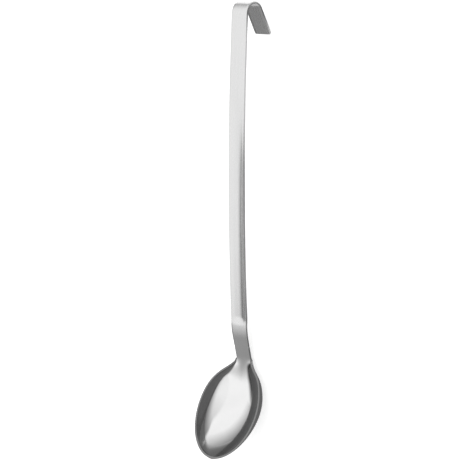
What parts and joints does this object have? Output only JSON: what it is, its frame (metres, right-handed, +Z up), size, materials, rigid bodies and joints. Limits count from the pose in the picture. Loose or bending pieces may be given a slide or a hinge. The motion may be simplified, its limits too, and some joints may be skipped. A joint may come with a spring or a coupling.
{
  "type": "serving spoon",
  "caption": "Steel serving spoon with a deep oval bowl, a long gently arched strip handle pressed to a shallow gutter, and a hook bent back from its end for hanging.",
  "frame": {"origin": "middle of the spoon's footprint on the table, at table height", "axes": "+Z up out of the open bowl, +Y along the handle towards the hook, +X across the spoon, with the spoon lying face up on its bowl and the end of its hook"},
  "size_m": [0.063, 0.3882, 0.0434],
  "materials": {
    "polished_steel": "mirror polished stainless steel",
    "ground_seam": "weld ground flush and polished over",
    "satin_steel": "fine satin, brushed along the length"
  },
  "bodies": {
    "root": {"bowl": "polished_steel", "neck_weld": "ground_seam", "handle": "satin_steel"}
  },
  "joints": []
}
